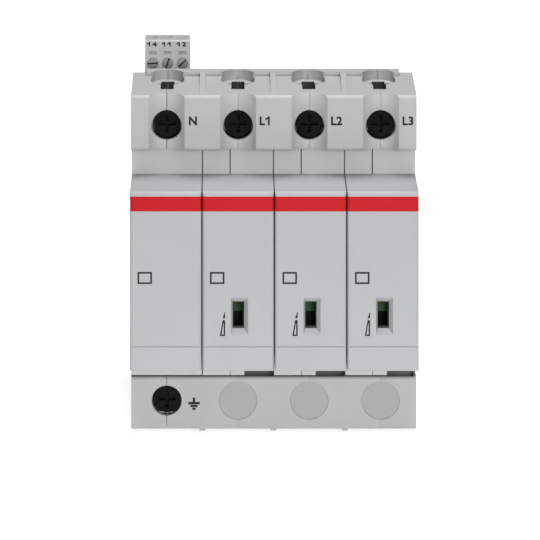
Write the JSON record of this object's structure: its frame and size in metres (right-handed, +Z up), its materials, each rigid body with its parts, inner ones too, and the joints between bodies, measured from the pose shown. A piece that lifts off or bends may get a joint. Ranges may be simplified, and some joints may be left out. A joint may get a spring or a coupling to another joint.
{
  "type": "din rail surge arrester",
  "caption": "Rail-mounted surge arrester: a moulded base with plug-in cartridges, indicator windows, screw terminals above and below and a plug-in signal connector.",
  "frame": {"origin": "on the rail's front plane, at the rail's centre line and the middle of the width", "axes": "+X along the rail to the right, the front faces -Y, +Z up"},
  "size_m": [0.0712, 0.0648, 0.0927],
  "materials": {
    "housing": "fine matt moulded",
    "cartridge": "fine matt moulded",
    "connector": "satin",
    "dark_steel": "black oxide",
    "zinc": "zinc plated",
    "copper": "bare copper",
    "brass": "bare",
    "board": "lacquered board",
    "black_plastic": "matt",
    "white_plastic": "matt",
    "ceramic": "glazed ceramic",
    "varistor": "epoxy coated",
    "flag": "matt"
  },
  "bodies": {
    "base": {"base_shell_left": "housing", "base_shell_middle_1": "housing", "base_shell_middle_2": "housing", "base_shell_middle_3": "housing", "base_shell_right": "housing", "shell_rivets": "zinc", "blanking_plugs": "housing", "line_contacts": "copper", "contact_pe": "copper", "neutral_busbar": "copper", "signal_board": "board", "signal_header": "connector", "signal_switch": "black_plastic"},
    "cartridge_n": {"cartridge_n_tub": "cartridge", "cartridge_n_cover": "cartridge", "cartridge_n_cap": "cartridge", "cartridge_n_blades": "copper", "spark_gap": "ceramic"},
    "cartridge_l1": {"cartridge_l1_left": "cartridge", "cartridge_l1_right": "cartridge", "cartridge_l1_cap": "cartridge", "cartridge_l1_blades": "copper", "varistor_l1": "varistor"},
    "lever_l1": {"lever_l1": "brass"},
    "flag_l1": {"flag_l1": "flag"},
    "cartridge_l2": {"cartridge_l2_left": "cartridge", "cartridge_l2_right": "cartridge", "cartridge_l2_cap": "cartridge", "cartridge_l2_blades": "copper", "varistor_l2": "varistor"},
    "lever_l2": {"lever_l2": "brass"},
    "flag_l2": {"flag_l2": "flag"},
    "cartridge_l3": {"cartridge_l3_left": "cartridge", "cartridge_l3_right": "cartridge", "cartridge_l3_cap": "cartridge", "cartridge_l3_blades": "copper", "varistor_l3": "varistor"},
    "lever_l3": {"lever_l3": "brass"},
    "flag_l3": {"flag_l3": "flag"},
    "screw_n": {"terminal_screw_n": "dark_steel"},
    "cage_n": {"clamp_cage_n": "zinc"},
    "screw_l1": {"terminal_screw_l1": "dark_steel"},
    "cage_l1": {"clamp_cage_l1": "zinc"},
    "screw_l2": {"terminal_screw_l2": "dark_steel"},
    "cage_l2": {"clamp_cage_l2": "zinc"},
    "screw_l3": {"terminal_screw_l3": "dark_steel"},
    "cage_l3": {"clamp_cage_l3": "zinc"},
    "screw_pe": {"terminal_screw_pe": "dark_steel"},
    "cage_pe": {"clamp_cage_pe": "zinc"},
    "latch_left": {"rail_latch_left": "housing"},
    "latch_right": {"rail_latch_right": "housing"},
    "signal_bar": {"signal_bar": "white_plastic"},
    "signal_plug": {"signal_plug": "connector", "signal_contacts": "copper"},
    "signal_screw_14": {"signal_screw_14": "zinc"},
    "signal_cage_14": {"signal_cage_14": "zinc"},
    "signal_screw_11": {"signal_screw_11": "zinc"},
    "signal_cage_11": {"signal_cage_11": "zinc"},
    "signal_screw_12": {"signal_screw_12": "zinc"},
    "signal_cage_12": {"signal_cage_12": "zinc"}
  },
  "joints": [
    {"name": "cartridge_n_pull", "type": "slide", "parent": "base", "child": "cartridge_n", "axis": [0, -1, 0], "range_m": [0, 0.05]},
    {"name": "cartridge_l1_pull", "type": "slide", "parent": "base", "child": "cartridge_l1", "axis": [0, -1, 0], "range_m": [0, 0.05]},
    {"name": "cartridge_l2_pull", "type": "slide", "parent": "base", "child": "cartridge_l2", "axis": [0, -1, 0], "range_m": [0, 0.05]},
    {"name": "cartridge_l3_pull", "type": "slide", "parent": "base", "child": "cartridge_l3", "axis": [0, -1, 0], "range_m": [0, 0.05]},
    {"name": "cage_n_travel", "type": "slide", "parent": "base", "child": "cage_n", "axis": [0, -1, 0], "range_m": [0, 0.0032]},
    {"name": "screw_n_turn", "type": "hinge", "parent": "base", "child": "screw_n", "pos_m": [-0.0267, -0.041, 0.0344], "axis": [0, 1, 0], "range_deg": [0, 1440]},
    {"name": "cage_l1_travel", "type": "slide", "parent": "base", "child": "cage_l1", "axis": [0, -1, 0], "range_m": [0, 0.0032]},
    {"name": "screw_l1_turn", "type": "hinge", "parent": "base", "child": "screw_l1", "pos_m": [-0.0089, -0.041, 0.0344], "axis": [0, 1, 0], "range_deg": [0, 1440]},
    {"name": "cage_l2_travel", "type": "slide", "parent": "base", "child": "cage_l2", "axis": [0, -1, 0], "range_m": [0, 0.0032]},
    {"name": "screw_l2_turn", "type": "hinge", "parent": "base", "child": "screw_l2", "pos_m": [0.0089, -0.041, 0.0344], "axis": [0, 1, 0], "range_deg": [0, 1440]},
    {"name": "cage_l3_travel", "type": "slide", "parent": "base", "child": "cage_l3", "axis": [0, -1, 0], "range_m": [0, 0.0032]},
    {"name": "screw_l3_turn", "type": "hinge", "parent": "base", "child": "screw_l3", "pos_m": [0.0267, -0.041, 0.0344], "axis": [0, 1, 0], "range_deg": [0, 1440]},
    {"name": "cage_pe_travel", "type": "slide", "parent": "base", "child": "cage_pe", "axis": [0, -1, 0], "range_m": [0, 0.0032]},
    {"name": "screw_pe_turn", "type": "hinge", "parent": "base", "child": "screw_pe", "pos_m": [-0.0267, -0.041, -0.0344], "axis": [0, 1, 0], "range_deg": [0, 1440]},
    {"name": "lever_l1_swing", "type": "hinge", "parent": "cartridge_l1", "child": "lever_l1", "pos_m": [-0.0142, -0.018, 0.006], "axis": [1, 0, 0], "range_deg": [0, 18]},
    {"name": "flag_l1_drop", "type": "slide", "parent": "cartridge_l1", "child": "flag_l1", "axis": [0, 0, -1], "range_m": [0, 0.0059]},
    {"name": "lever_l2_swing", "type": "hinge", "parent": "cartridge_l2", "child": "lever_l2", "pos_m": [0.0036, -0.018, 0.006], "axis": [1, 0, 0], "range_deg": [0, 18]},
    {"name": "flag_l2_drop", "type": "slide", "parent": "cartridge_l2", "child": "flag_l2", "axis": [0, 0, -1], "range_m": [0, 0.0059]},
    {"name": "lever_l3_swing", "type": "hinge", "parent": "cartridge_l3", "child": "lever_l3", "pos_m": [0.0214, -0.018, 0.006], "axis": [1, 0, 0], "range_deg": [0, 18]},
    {"name": "flag_l3_drop", "type": "slide", "parent": "cartridge_l3", "child": "flag_l3", "axis": [0, 0, -1], "range_m": [0, 0.0059]},
    {"name": "latch_left_pull", "type": "slide", "parent": "base", "child": "latch_left", "axis": [0, 0, -1], "range_m": [0, 0.0035]},
    {"name": "latch_right_pull", "type": "slide", "parent": "base", "child": "latch_right", "axis": [0, 0, -1], "range_m": [0, 0.0035]},
    {"name": "signal_bar_push", "type": "slide", "parent": "base", "child": "signal_bar", "axis": [1, 0, 0], "range_m": [0, 0.0012], "stiffness_N_per_m": 40},
    {"name": "signal_plug_pull", "type": "slide", "parent": "base", "child": "signal_plug", "axis": [0, 0, 1], "range_m": [0, 0.012]},
    {"name": "signal_screw_14_turn", "type": "hinge", "parent": "signal_plug", "child": "signal_screw_14", "pos_m": [-0.03081, -0.0126, 0.0433], "axis": [0, 1, 0], "range_deg": [0, 450]},
    {"name": "signal_cage_14_travel", "type": "slide", "parent": "signal_plug", "child": "signal_cage_14", "axis": [0, -1, 0], "range_m": [0, 0.0005]},
    {"name": "signal_screw_11_turn", "type": "hinge", "parent": "signal_plug", "child": "signal_screw_11", "pos_m": [-0.027, -0.0126, 0.0433], "axis": [0, 1, 0], "range_deg": [0, 450]},
    {"name": "signal_cage_11_travel", "type": "slide", "parent": "signal_plug", "child": "signal_cage_11", "axis": [0, -1, 0], "range_m": [0, 0.0005]},
    {"name": "signal_screw_12_turn", "type": "hinge", "parent": "signal_plug", "child": "signal_screw_12", "pos_m": [-0.02319, -0.0126, 0.0433], "axis": [0, 1, 0], "range_deg": [0, 450]},
    {"name": "signal_cage_12_travel", "type": "slide", "parent": "signal_plug", "child": "signal_cage_12", "axis": [0, -1, 0], "range_m": [0, 0.0005]}
  ],
  "couplings": [
    {"joint": "screw_n_turn", "follows": "cage_n_travel", "rad_per_m": 7853.9},
    {"joint": "screw_l1_turn", "follows": "cage_l1_travel", "rad_per_m": 7853.9},
    {"joint": "screw_l2_turn", "follows": "cage_l2_travel", "rad_per_m": 7853.9},
    {"joint": "screw_l3_turn", "follows": "cage_l3_travel", "rad_per_m": 7853.9},
    {"joint": "screw_pe_turn", "follows": "cage_pe_travel", "rad_per_m": 7853.9},
    {"joint": "flag_l1_drop", "follows": "lever_l1_swing", "m_per_rad": 0.0187},
    {"joint": "flag_l2_drop", "follows": "lever_l2_swing", "m_per_rad": 0.0187},
    {"joint": "flag_l3_drop", "follows": "lever_l3_swing", "m_per_rad": 0.0187},
    {"joint": "signal_screw_14_turn", "follows": "signal_cage_14_travel", "rad_per_m": 15707},
    {"joint": "signal_screw_11_turn", "follows": "signal_cage_11_travel", "rad_per_m": 15707},
    {"joint": "signal_screw_12_turn", "follows": "signal_cage_12_travel", "rad_per_m": 15707}
  ]
}
